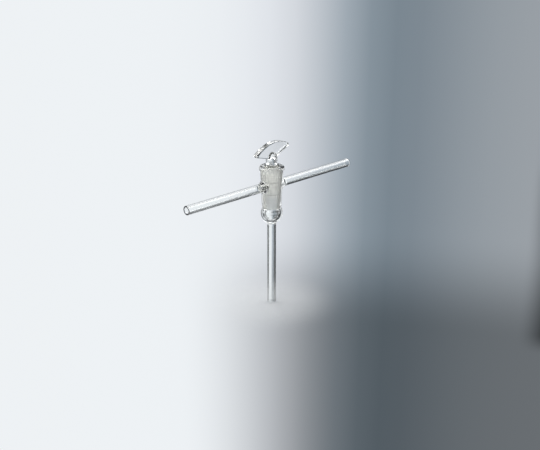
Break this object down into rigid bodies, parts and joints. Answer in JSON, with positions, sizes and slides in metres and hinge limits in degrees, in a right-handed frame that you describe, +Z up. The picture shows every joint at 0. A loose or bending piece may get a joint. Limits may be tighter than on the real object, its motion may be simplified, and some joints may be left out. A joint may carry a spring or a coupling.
{
  "type": "three-way glass stopcock",
  "caption": "Three-way glass stopcock, T form: thick-walled barrel with arms, bulb and stem, and a hollow ground plug with a wing handle.",
  "frame": {"origin": "on the barrel's axis at the stem's open lower end", "axes": "+Z up the barrel's axis from the stem to the handle, X along the two arms"},
  "size_m": [0.23, 0.028, 0.188],
  "materials": {
    "barrel_glass": "clear, fire-polished, ground inside the socket",
    "plug_glass": "clear handle and neck, ground cone"
  },
  "bodies": {
    "barrel": {"barrel": "barrel_glass"},
    "plug": {"plug": "plug_glass"}
  },
  "joints": [
    {"name": "plug_turn", "type": "hinge", "parent": "barrel", "child": "plug", "pos_m": [0, 0, 0.139], "axis": [0, 0, 1], "continuous": true}
  ]
}
